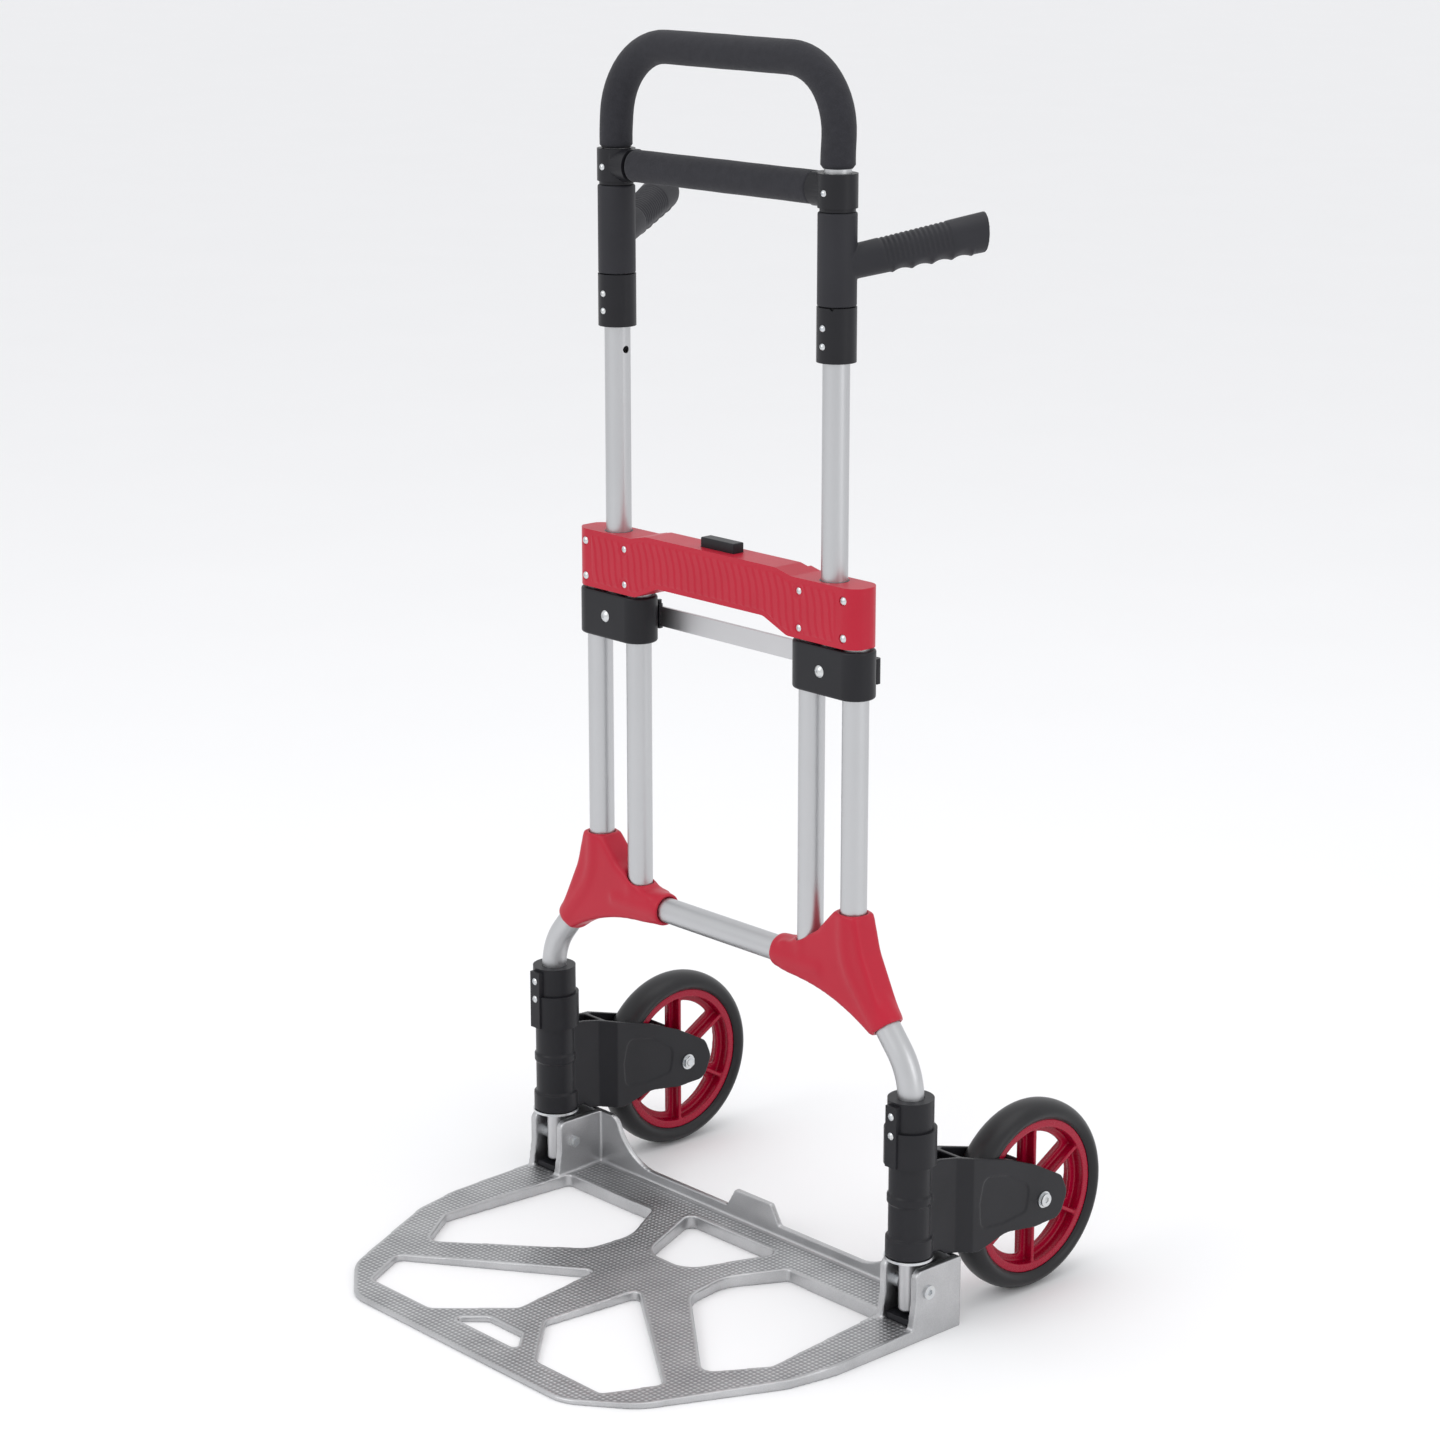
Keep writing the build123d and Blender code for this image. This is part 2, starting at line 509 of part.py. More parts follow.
def release():
    """Push button with its cam plate, and the two lock pins that it draws in."""
    cap = block((-BUTTON_HALF, BUTTON_FRONT, BAR_TOP), (BUTTON_HALF, BUTTON_BACK, BAR_MID_TOP + 9.5))
    cap = fillet(cap.edges().group_by(Axis.Z)[-1] + cap.edges().filter_by(Axis.Z), 1.2)
    plate = block((-82.2, -1.5, 680), (82.2, 1.5, 700))
    stem = block((-20, -1.5, 698), (20, 1.5, BAR_TOP + 1))
    slot_half = 2.3
    lead = slot_half / math.sqrt(2)
    for side in (-1, 1):
        start = (side * (PEG_X + 0.2), PIN_Z - 0.2)
        end = (side * (PEG_X - PIN_STROKE - 0.2), PIN_Z + PIN_STROKE + 0.2)
        corners = [(start[0] - side * lead, start[1] - lead), (start[0] + side * lead, start[1] + lead),
                   (end[0] + side * lead, end[1] + lead), (end[0] - side * lead, end[1] - lead)]
        with BuildSketch(Plane.XZ) as cut:
            with BuildLine():
                Polyline(*corners, close=True)
            make_face()
            with Locations(start, end):
                Circle(slot_half)
        plate -= extrude(cut.sketch, amount=5, both=True)
    save("release_button", cap + plate + stem)

    pin = rod_x(PIN_R, 88, PIN_TIP, 0, PIN_Z)
    pin += block((PEG_X - 4, 1.8, PIN_Z - 3), (92, 3.4, PIN_Z + 3))
    pin += block((88, -2, PIN_Z - 2), (92, 3.4, PIN_Z + 2))
    pin += rod_y(2.0, -1.5, 3.0, PEG_X, PIN_Z)
    save_pair("lock_pin", pin)

    floor = BAR_MID_BOTTOM + 3
    coil = Helix(pitch=2.2, height=680 - floor - 1.2, radius=4, center=(0, 0, floor + 0.6))
    start = Plane(origin=coil @ 0, z_dir=coil % 0)
    save("button_spring", sweep(start * Circle(0.5), path=coil))


# ---------------------------------------------------------------- pull-out handle
def d_path(start, half_x=HANDLE_X):
    top = GROUND_TO_TOP - FOAM_R
    corners = [(half_x, 0, start), (half_x, 0, D_LEAN_Z), (half_x, D_LEAN, top), (-half_x, D_LEAN, top),
               (-half_x, 0, D_LEAN_Z), (-half_x, 0, start)]
    return FilletPolyline(*corners, radius=[150, D_BEND_R, D_BEND_R, 150])


def handle():
    tube = swept(d_path(HANDLE_BOTTOM), TUBE_R, TUBE_R - TUBE_WALL)
    for height in (PIN_Z, PIN_Z + TRAVEL):
        for side in (-1, 1):
            tube -= rod_x(PIN_R + 0.6, side * (HANDLE_X - TUBE_R - 1), side * (HANDLE_X - 8), 0, height)
    save("handle_tube", tube)
    save("top_grip", swept(d_path(TEE_HIGH + 4), FOAM_R, TUBE_R + 0.05))

    tee = post(TEE_R, TEE_LOW + 3.2, TEE_HIGH, HANDLE_X) + post(TEE_R - 2, TEE_LOW, TEE_LOW + 3.2, HANDLE_X)
    boss_space = block((120, -17, TEE_LOW + 3.2), (HANDLE_X, 17, TEE_HIGH))
    tee += rod_x(16.6, 124, HANDLE_X, 0, CROSS_GRIP_Z) & boss_space
    bar_end, bar_r = 133.0, 11.0
    tee -= post(BORE_R, TEE_LOW - 1, TEE_HIGH + 1, HANDLE_X)
    tee -= rod_x(bar_r + 0.05, 110, bar_end + 0.1, 0, CROSS_GRIP_Z)
    stop = ring(TEE_R, BORE_R, COLLAR_LOW, GRIP_LOW - 0.3, HANDLE_X)
    notch = Rot(0, 45, 0) * Box(3.6, 6, 3.6)
    stop -= Pos(HANDLE_X, 0, GRIP_LOW - 0.3) * Rot(0, 0, 32) * Pos(0, -TEE_R, 0) * notch
    rivets = []
    for height, target in ((CROSS_GRIP_Z - 2, "tee"), (COLLAR_LOW + 15, "stop"), (COLLAR_LOW + 31.5, "stop")):
        drill = rod_y(2.05, -TEE_R - 1, -10, HANDLE_X, height)
        drill += rod_y(3.5, -TEE_R - 1, 0.45 - TEE_R, HANDLE_X, height)
        if target == "tee":
            tee -= drill
        else:
            stop -= drill
        shank = rod_y(2.0, -TEE_R, -12.8, HANDLE_X, height)
        rivets.append(shank + dome(3.3, 1.9, HANDLE_X, 0.4 - TEE_R, height))
    save_pair("tee_fitting", tee)
    save_pair("stop_collar", stop)
    save("handle_rivets", both(Compound(children=rivets)))

    cross = rod_x(bar_r, -bar_end, bar_end, 0, CROSS_GRIP_Z)
    cross -= rod_x(bar_r - TUBE_WALL, -bar_end - 1, bar_end + 1, 0, CROSS_GRIP_Z)
    save("cross_grip_tube", cross)
    sleeve = rod_x(FOAM_R - 0.6, -123.8, 123.8, 0, CROSS_GRIP_Z)
    save("cross_grip", sleeve - rod_x(bar_r + 0.05, -130, 130, 0, CROSS_GRIP_Z))

    plug = post(TUBE_R - TUBE_WALL - 0.1, HANDLE_BOTTOM, HANDLE_BOTTOM + 14, HANDLE_X)
    save("handle_plugs", both(plug + post(TUBE_R - 0.3, HANDLE_BOTTOM - 2, HANDLE_BOTTOM, HANDLE_X)))


def side_grip():
    """Swivelling sleeve with a grip that points back and outwards."""
    sleeve = post(18, GRIP_LOW, GRIP_HIGH, HANDLE_X)
    reach = SIDE_GRIP_END.length + 6
    root = Plane(origin=(HANDLE_X, 0, SIDE_GRIP_Z), z_dir=SIDE_GRIP_END)
    grip = root * Cone(15.5, 18, reach, align=(Align.CENTER, Align.CENTER, Align.MIN))
    level = Vector(SIDE_GRIP_END.X, SIDE_GRIP_END.Y, 0)
    end_face = Plane(origin=Vector(HANDLE_X, 0, SIDE_GRIP_Z) + level, z_dir=level)
    grip -= end_face * Box(80, 80, 60, align=(Align.CENTER, Align.CENTER, Align.MIN))
    grip = sleeve + grip - post(RUN_R, GRIP_LOW - 1, GRIP_HIGH + 1, HANDLE_X)
    save_pair("side_grip", grip)


def main():
    os.makedirs("parts", exist_ok=True)
    frame_tubes()
    gusset()
    toe_plate()
    post_stack()
    wheel_bracket()
    wheel()
    clamps()
    cross_bar()
    release()
    handle()
    side_grip()


main()
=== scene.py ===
import json
import math

import bmesh
import bpy
import numpy as np
from mathutils import Matrix, Vector, kdtree


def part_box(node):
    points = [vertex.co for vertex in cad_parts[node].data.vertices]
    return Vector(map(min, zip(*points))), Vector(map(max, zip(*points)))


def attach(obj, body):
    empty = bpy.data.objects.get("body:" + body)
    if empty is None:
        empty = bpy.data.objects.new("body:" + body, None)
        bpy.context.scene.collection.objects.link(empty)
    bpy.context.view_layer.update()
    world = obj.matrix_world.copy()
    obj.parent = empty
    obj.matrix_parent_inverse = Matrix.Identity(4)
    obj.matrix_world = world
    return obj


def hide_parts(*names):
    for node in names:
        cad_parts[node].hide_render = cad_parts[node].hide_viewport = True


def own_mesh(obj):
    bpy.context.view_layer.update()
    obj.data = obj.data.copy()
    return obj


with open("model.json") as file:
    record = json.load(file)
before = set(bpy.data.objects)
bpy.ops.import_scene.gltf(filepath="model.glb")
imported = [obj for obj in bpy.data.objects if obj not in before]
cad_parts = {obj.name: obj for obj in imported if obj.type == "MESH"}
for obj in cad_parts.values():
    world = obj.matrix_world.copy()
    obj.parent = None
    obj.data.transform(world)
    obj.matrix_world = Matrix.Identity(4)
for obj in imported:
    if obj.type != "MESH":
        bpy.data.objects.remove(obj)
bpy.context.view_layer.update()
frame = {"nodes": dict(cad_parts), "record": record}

MM = 0.001
SIDES = (("left", -1), ("right", 1))
BODY_OF = {node: body for body, nodes in frame["record"]["behaviour"]["bodies"].items() for node in nodes}
SLOT_OF = {part["node"]: part["material_slot"] for part in frame["record"]["subparts"]}
FINISHES = {}
WELD = 0.002 * MM
STORED_SHADING = ("custom_normal", "sharp_edge", "sharp_face")


# ---------------------------------------------------------------- places taken from the frame
def middle(node):
    low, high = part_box(node)
    return (low + high) / 2


TUBE = middle("right_inner_tube")
TUBE_R = (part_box("right_inner_tube")[1].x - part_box("right_inner_tube")[0].x) / 2
PLANE_Y = TUBE.y
HANDLE_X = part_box("handle_tube")[1].x - TUBE_R
WHEEL = middle("right_tyre")


# ---------------------------------------------------------------- finishes written as sums
class Signal:
    """A shader socket that takes part in ordinary arithmetic."""

    def __init__(self, finish, socket):
        self.finish = finish
        self.socket = socket

    def step(self, operation, *values):
        return self.finish.node("ShaderNodeMath", {"operation": operation}, 0, *values)

    def __add__(self, other):
        return self.step("ADD", self, other)

    __radd__ = __add__

    def __mul__(self, other):
        return self.step("MULTIPLY", self, other)

    __rmul__ = __mul__

    def __sub__(self, other):
        return self.step("SUBTRACT", self, other)

    def __rsub__(self, other):
        return self.step("SUBTRACT", other, self)

    def clamped(self):
        return self.step("MAXIMUM", self.step("MINIMUM", self, 1.0), 0.0)


class Finish:
    """A named material with one principled shader and nodes made by node()."""

    def __init__(self, slot, **constants):
        constants.setdefault("Specular_IOR_Level", 0.5)
        self.material = bpy.data.materials.new(slot)
        self.material.use_nodes = True
        self.tree = self.material.node_tree
        self.shader = self.tree.nodes["Principled BSDF"]
        for name, value in constants.items():
            self.shader.inputs[name.replace("_", " ")].default_value = value
        self.place = self.node("ShaderNodeTexCoord", {}, "Object")
        FINISHES[slot] = self.material

    def plug(self, socket, value):
        if isinstance(value, Signal):
            self.tree.links.new(value.socket, socket)
        else:
            socket.default_value = value

    def node(self, kind, settings, output, *values, **named):
        made = self.tree.nodes.new(kind)
        for name, value in settings.items():
            setattr(made, name, value)
        for socket, value in zip(made.inputs, values):
            self.plug(socket, value)
        for name, value in named.items():
            self.plug(made.inputs[name.replace("_", " ")], value)
        return Signal(self, made.outputs[output])

    def stretched(self, x, y, z):
        return self.node("ShaderNodeVectorMath", {"operation": "MULTIPLY"}, 0, self.place, (x, y, z))

    def noise(self, scale, detail=3.0, place=None):
        where = place or self.place
        return self.node("ShaderNodeTexNoise", {}, 0, Vector=where, Scale=scale, Detail=detail)

    def mixed(self, factor, first, second):
        made = self.tree.nodes.new("ShaderNodeMix")
        made.data_type = "RGBA"
        self.plug(made.inputs[0], factor)
        self.plug(made.inputs[6], first)
        self.plug(made.inputs[7], second)
        return Signal(self, made.outputs[2])

    def colour(self, factor, first, second):
        self.plug(self.shader.inputs["Base Color"], self.mixed(factor, (*first, 1), (*second, 1)))

    def roughness(self, value):
        self.plug(self.shader.inputs["Roughness"], value)

    def relief(self, height, distance, strength=1.0):
        bump = self.node("ShaderNodeBump", {}, 0, Height=height, Distance=distance, Strength=strength)
        self.plug(self.shader.inputs["Normal"], bump)


def drawn_aluminium(slot, shade, along, rough=0.3):
    """Anodised tube with faint lines along the way it was drawn."""
    finish = Finish(slot, Metallic=1.0)
    lines = finish.noise(1.0, 4.0, finish.stretched(*along))
    cloud = finish.noise(14.0)
    finish.colour(cloud, [0.93 * v for v in shade], shade)
    finish.roughness(rough + 0.1 * lines + 0.06 * cloud)
    finish.relief(lines, 0.05 * MM, 0.25)


def cast_aluminium(slot):
    """Tumbled casting. The knurl attribute is 1 where its top is knurled; there the colour carries a
    painted highlight on the knurl crests and painted shade in the knurl hollows.
    """
    finish = Finish(slot, Metallic=1.0)
    grain = finish.noise(900.0, 6.0)
    cloud = finish.noise(22.0, 5.0)
    knurl = finish.node("ShaderNodeAttribute", {"attribute_name": "knurl"}, "Fac")
    hollow = finish.node("ShaderNodeAttribute", {"attribute_name": "hollow"}, "Fac")
    # painted light: the knurl crests are coloured lighter as a painted highlight and its hollows darker as
    # painted shade
    knurl_painted_highlight_and_shade = knurl * (0.45 - 0.8 * hollow)
    finish.colour((0.4 * cloud + 0.3 * grain + knurl_painted_highlight_and_shade + 0.15).clamped(),
                  (0.20, 0.203, 0.21), (0.82, 0.822, 0.83))
    finish.roughness(0.28 + 0.14 * grain + 0.04 * knurl)
    finish.relief(grain + 0.6 * cloud, 0.12 * MM, 0.5)


def moulded_plastic(slot, dark, light, rough, grain_scale, depth, gloss=0.3, coat=0.0):
    """Moulded plastic with a fine tool grain and slow colour drift."""
    finish = Finish(slot, Specular_IOR_Level=gloss, Coat_Weight=coat, Coat_Roughness=0.12)
    grain = finish.noise(grain_scale, 2.0)
    cloud = finish.noise(18.0, 4.0)
    finish.colour((0.7 * cloud + 0.3 * grain).clamped(), dark, light)
    finish.roughness(rough + 0.12 * grain - 0.06 * cloud)
    finish.relief(grain + 0.5 * cloud, depth * MM, 0.6)


def skinned_foam(slot):
    """Closed foam with a dull skin and open pores; its colour drifts in random lumps and is painted darker
    in the pore pits as painted shade.
    """
    finish = Finish(slot, Specular_IOR_Level=0.2, Sheen_Weight=0.08, Sheen_Roughness=0.5)
    pores = finish.node("ShaderNodeTexVoronoi", {}, "Distance", Vector=finish.place, Scale=900.0)
    lumps = finish.noise(160.0, 4.0)
    # colour: random lumps of tone, which are the foam's own, plus painted shade that darkens the pore pits
    finish.colour((0.6 * lumps + 0.5 * pores).clamped(), (0.014, 0.014, 0.017), (0.036, 0.036, 0.043))
    finish.roughness(0.72 + 0.2 * pores)
    finish.relief(pores + 0.8 * lumps, 0.35 * MM, 0.6)


def tyre_rubber(slot):
    """Smooth moulded rubber with a slight bloom."""
    finish = Finish(slot, Specular_IOR_Level=0.35)
    bloom = finish.noise(30.0, 6.0)
    grain = finish.noise(1400.0, 3.0)
    finish.colour((0.8 * bloom + 0.3 * grain).clamped(), (0.006, 0.006, 0.007), (0.017, 0.017, 0.019))
    finish.roughness(0.28 + 0.14 * bloom + 0.06 * grain)
    finish.relief(grain + bloom, 0.06 * MM, 0.5)


def zinc_plate(slot):
    """Bright zinc with a bluish and yellowish passivated cast."""
    finish = Finish(slot, Metallic=1.0)
    cast = finish.noise(240.0, 4.0)
    grain = finish.noise(2400.0, 3.0)
    finish.colour(cast, (0.56, 0.60, 0.66), (0.72, 0.71, 0.67))
    finish.roughness(0.2 + 0.18 * grain)
    finish.relief(grain, 0.03 * MM, 0.5)


def make_finishes():
    drawn_aluminium("tube_aluminium", (0.555, 0.56, 0.57), (900, 900, 9))
    drawn_aluminium("foot_aluminium", (0.62, 0.62, 0.63), (30, 700, 700), 0.32)
    cast_aluminium("cast_aluminium")
    moulded_plastic("red_plastic", (0.41, 0.007, 0.024), (0.50, 0.012, 0.036), 0.36, 1800.0, 0.05)
    moulded_plastic("black_plastic", (0.006, 0.006, 0.0075), (0.017, 0.017, 0.021), 0.36, 2200.0, 0.06,
                    0.27)
    moulded_plastic("grip_plastic", (0.014, 0.014, 0.017), (0.030, 0.030, 0.036), 0.48, 1900.0, 0.10, 0.25)
    moulded_plastic("rim_plastic", (0.30, 0.0, 0.018), (0.37, 0.001, 0.028), 0.24, 900.0, 0.02,
                    0.24, 0.12)
    skinned_foam("foam")
    tyre_rubber("tyre_rubber")
    zinc_plate("zinc_steel")


# ---------------------------------------------------------------- mesh tools
def linked(name, mesh):
    piece = bpy.data.objects.new(name, mesh)
    bpy.context.scene.collection.objects.link(piece)
    return piece


def from_faces(name, points, faces):
    mesh = bpy.data.meshes.new(name)
    mesh.from_pydata([tuple(p) for p in points], [], faces)
    mesh.update()
    return linked(name, mesh)


def copy_of(node, name):
    """A new piece with the node's shape, its seams welded and its stored normals dropped."""
    mesh = frame["nodes"][node].data.copy()
    work = bmesh.new()
    work.from_mesh(mesh)
    bmesh.ops.remove_doubles(work, verts=work.verts, dist=WELD)
    work.to_mesh(mesh)
    work.free()
    for attribute in [a for a in mesh.attributes if a.name in STORED_SHADING]:
        mesh.attributes.remove(attribute)
    return linked(name, mesh)


def bake(piece):
    """Apply the piece's modifiers to its mesh."""
    graph = bpy.context.evaluated_depsgraph_get()
    mesh = bpy.data.meshes.new_from_object(piece.evaluated_get(graph))
    piece.modifiers.clear()
    piece.data = mesh
    return piece


def fused(piece, voxel, rounds):
    """Turn the piece into one moulding: a fresh even skin, then edges worn round."""
    remesh = piece.modifiers.new("skin", "REMESH")
    remesh.mode = "VOXEL"
    remesh.voxel_size = voxel
    smooth = piece.modifiers.new("soft", "SMOOTH")
    smooth.factor = 0.5
    smooth.iterations = rounds
    bake(piece)
    piece.data.shade_smooth()
    return piece


def cut(piece, cutter):
    """Take the cutter's shape out of the piece."""
    saw = piece.modifiers.new("saw", "BOOLEAN")
    saw.operation = "DIFFERENCE"
    saw.solver = "EXACT"
    saw.object = cutter
    bake(piece)
    bpy.data.objects.remove(cutter)
    return piece


def edged(piece, width):
    """Merge flat facets, round every hard edge and shade what is left smooth."""
    work = bmesh.new()
    work.from_mesh(piece.data)
    flat = math.radians(1.0)
    bmesh.ops.dissolve_limit(work, angle_limit=flat, verts=work.verts, edges=work.edges)
    limit = math.radians(35)
    hard = [e for e in work.edges if len(e.link_faces) == 2 and e.calc_face_angle(0) > limit]
    bmesh.ops.bevel(work, geom=hard, offset=width, segments=2, profile=0.5, affect="EDGES",
                    clamp_overlap=True, harden_normals=False)
    work.to_mesh(piece.data)
    work.free()
    piece.data.shade_smooth()
    piece.data.set_sharp_from_angle(angle=math.radians(50))
    weighted = piece.modifiers.new("even", "WEIGHTED_NORMAL")
    weighted.keep_sharp = True
    return bake(piece)


def stand_in(piece, *nodes):
    """The piece takes the place, body and finish of these nodes."""
    slot = SLOT_OF[nodes[0]]
    piece.data.materials.clear()
    piece.data.materials.append(FINISHES[slot])
    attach(piece, BODY_OF[nodes[0]])
    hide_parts(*nodes)
    return piece


def extra(piece, node):
    """The piece is trim that goes with this node's body and finish."""
    slot = SLOT_OF[node]
    piece.data.materials.append(FINISHES[slot])
    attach(piece, BODY_OF[node])
    return piece


def smooth_step(value, low, high):
    share = np.clip((value - low) / (high - low), 0, 1)
    return share * share * (3 - 2 * share)


def within(value, start, end):
    """1 between two ranges, with a smooth rise through the first and fall through the second."""
    return smooth_step(value, *start) * (1 - smooth_step(value, *end))


def rings_to_piece(name, rings):
    """Skin over a list of closed rings, with a fan at each end."""
    count = len(rings[0])
    points = [p for ring in rings for p in ring]
    faces = []
    for row in range(len(rings) - 1):
        for i in range(count):
            j = (i + 1) % count
            low, high = row * count, (row + 1) * count
            faces.append((low + i, low + j, high + j, high + i))
    for row, order in ((0, -1), (len(rings) - 1, 1)):
        centre = sum((Vector(p) for p in rings[row]), Vector()) / count
        points.append(centre)
        tip, base = len(points) - 1, row * count
        for i in range(count):
            pair = (base + i, base + (i + 1) % count)
            faces.append((*pair[::order], tip))
    piece = from_faces(name, points, faces)
    work = bmesh.new()
    work.from_mesh(piece.data)
    bmesh.ops.recalc_face_normals(work, faces=work.faces)
    work.to_mesh(piece.data)
    work.free()
    return piece


def circle(x, radius, z, count):
    """Level ring of points about an axis on the plane of the posts."""
    turns = np.linspace(0, 2 * math.pi, count, endpoint=False)
    return [(x + radius * math.cos(t), PLANE_Y + radius * math.sin(t), z) for t in turns]


def post_cutter(x, radius, bottom, top):
    """Cutter for an upright bore on the plane of the posts."""
    return rings_to_piece("cutter", [circle(x, radius, z, 64) for z in (bottom - 10 * MM, top + 10 * MM)])


def prism(name, outline, start, end):
    """Solid between x = start and x = end with this (y, z) outline."""
    return rings_to_piece(name, [[(x, y, z) for y, z in outline] for x in (start, end)])


def rounded(points, radii, steps=12):
    """Points along a path whose inner corners are turned into arcs."""
    path = [Vector(points[0])]
    for before, corner, after, radius in zip(points, points[1:], points[2:], radii):
        corner = Vector(corner)
        back, ahead = (Vector(before) - corner).normalized(), (Vector(after) - corner).normalized()
        half = back.angle(ahead) / 2
        centre = corner + (back + ahead).normalized() * (radius / math.sin(half))
        start = corner + back * (radius / math.tan(half))
        end = corner + ahead * (radius / math.tan(half))
        sweep = math.pi - 2 * half
        for i in range(steps + 1):
            share = i / steps
            a, b = math.sin((1 - share) * sweep), math.sin(share * sweep)
            path.append(centre + ((start - centre) * a + (end - centre) * b) / math.sin(sweep))
    return [*path, Vector(points[-1])]


def along(path, spacing):
    """Even points along a path."""
    lengths = np.cumsum([0.0] + [(b - a).length for a, b in zip(path, path[1:])])
    places = np.linspace(0, lengths[-1], max(2, round(lengths[-1] / spacing)))
    columns = [np.interp(places, lengths, [p[i] for p in path]) for i in range(3)]
    return [Vector(p) for p in zip(*columns)], places


def sleeve(name, path, radius, spacing, count=40, end_round=2.5 * MM):
    """Foam sleeve along a path that lies in one upright plane, its ends rolled in to the tube."""
    points, places = along(path, spacing)
    side = Vector((0, 1, 0))
    rings = []
    for i, (point, place) in enumerate(zip(points, places)):
        ahead = (points[min(i + 1, len(points) - 1)] - points[max(i - 1, 0)]).normalized()
        across = side.cross(ahead).normalized()
        out = ahead.cross(across)
        gap = min(place, places[-1] - place)
        roll = max(0.0, 1 - gap / end_round)
        ring = []
        for k in range(count):
            turn = 2 * math.pi * k / count
            lump = 0.12 * MM * math.sin(3 * turn + place * 90) * math.sin(place * 37 + turn)
            reach = radius + lump - end_round * (1 - math.sqrt(1 - roll * roll))
            ring.append(point + (across * math.cos(turn) + out * math.sin(turn)) * reach)
        rings.append(ring)
    piece = rings_to_piece(name, rings)
    piece.data.shade_smooth()
    return piece


# ---------------------------------------------------------------- toe plate
KNURL_PITCH = 5.0 * MM
KNURL_DEPTH = 0.8 * MM
KNURL_MARGIN = (2.4 * MM, 3.6 * MM)
TOP_RANGE = (3 * MM, 16 * MM)          # heights between which the casting's top face lies
EDGE_RANGE = (2.5 * MM, 20 * MM)       # and those of the edges that the knurl keeps clear of


def toe_plate():
    """The casting with rounded edges and a knurled top that stops short of every edge."""
    piece = fused(copy_of("toe_plate", "toe_plate_casting"), voxel=KNURL_PITCH / 4, rounds=3)
    knurled(piece.data)
    stand_in(piece, "toe_plate")


def knurled(mesh):
    """Press the knurl into the top face and note where it and its hollows are, for the finish and its
    painted shade in the hollows.
    """
    count = len(mesh.vertices)
    co, normal = np.zeros(count * 3), np.zeros(count * 3)
    mesh.vertices.foreach_get("co", co)
    mesh.vertices.foreach_get("normal", normal)
    co, normal = co.reshape(-1, 3), normal.reshape(-1, 3)
    slope, height = normal[:, 2], co[:, 2]
    top = (slope > 0.985) & (height > TOP_RANGE[0]) & (height < TOP_RANGE[1])
    side = (slope < 0.9) & (slope > -0.3)
    edge = np.flatnonzero(side & (height > EDGE_RANGE[0]) & (height < EDGE_RANGE[1]))
    tree = kdtree.KDTree(len(edge))
    for i in edge:
        tree.insert((co[i, 0], co[i, 1], 0), int(i))
    tree.balance()
    knurl = np.zeros(count)
    for i in np.flatnonzero(top):
        knurl[i] = tree.find((co[i, 0], co[i, 1], 0))[2]
    knurl = smooth_step(knurl, *KNURL_MARGIN)
    wave = 2 * math.pi / KNURL_PITCH
    crest = (0.5 + 0.5 * np.cos(wave * co[:, 0])) * (0.5 + 0.5 * np.cos(wave * co[:, 1]))
    co[:, 2] += KNURL_DEPTH * knurl * (crest - 0.6)
    mesh.vertices.foreach_set("co", co.ravel())
    # hollow feeds only the cast finish's colour: painted shade in the knurl hollows, painted highlight on
    # the crests
    for name, values in (("knurl", knurl), ("hollow", 1 - crest)):
        mesh.attributes.new(name, "FLOAT", "POINT").data.foreach_set("value", values)
    mesh.update()


# ---------------------------------------------------------------- gussets, brackets and wheels
def gussets():
    for side, _ in SIDES:
        piece = copy_of(side + "_gusset", side + "_gusset_moulding")
        stand_in(fused(piece, voxel=1.6 * MM, rounds=45), side + "_gusset")


RECESS = ((-90, 20), (-84, 46), (-50, 39), (-20, 20), (-24, -6), (-56, -9), (-88, -6), (-90, 20))
RECESS_RADII = (9, 20, 12, 7, 20, 9)
RECESS_DEPTH = 0.9 * MM


def arm_recess(face, into):
    """Shallow panel let into one arm; its corners are in mm from the wheel's centre."""
    corners = [(face, WHEEL.y + y * MM, WHEEL.z + z * MM) for y, z in RECESS]
    loop = rounded(corners, [radius * MM for radius in RECESS_RADII], 8)[:-1]
    return prism("recess", [(p.y, p.z) for p in loop], face - into, face + into)


def brackets():
    for side, _ in SIDES:
        node = side + "_wheel_bracket"
        piece = copy_of(node, side + "_bracket_moulding")
        low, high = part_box(node)
        for face in (low.x, high.x):
            cut(piece, arm_recess(face, RECESS_DEPTH))
        fused(piece, voxel=0.9 * MM, rounds=4)
        cut(piece, post_cutter(middle(side + "_post_collar").x, TUBE_R + 0.3 * MM, low.z, high.z))
        piece.data.set_sharp_from_angle(angle=math.radians(40))
        stand_in(piece, node)


def rims():
    for side, _ in SIDES:
        piece = copy_of(side + "_rim", side + "_rim_moulding")
        stand_in(fused(piece, voxel=0.9 * MM, rounds=3), side + "_rim")


# ---------------------------------------------------------------- grips
FOAM_R = 15.8 * MM
LOOP_BEND = 66 * MM
LEAN = 5 * MM                          # how far back the top of the loop stands
LEAN_START_Z = 1.092
LEAN_BEND = 150 * MM


def top_foam():
    low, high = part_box("top_grip")
    back, top = PLANE_Y + LEAN, high.z - FOAM_R
    tee_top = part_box("left_tee_fitting")[1].z + 0.3 * MM
    corners = [(HANDLE_X, PLANE_Y, low.z), (HANDLE_X, PLANE_Y, LEAN_START_Z), (HANDLE_X, back, top),
               (-HANDLE_X, back, top), (-HANDLE_X, PLANE_Y, LEAN_START_Z), (-HANDLE_X, PLANE_Y, tee_top)]
    path = rounded(corners, [LEAN_BEND, LOOP_BEND, LOOP_BEND, LEAN_BEND])
    top_piece = sleeve("top_foam", path, FOAM_R, 3.2 * MM)
    stand_in(top_piece, "top_grip")


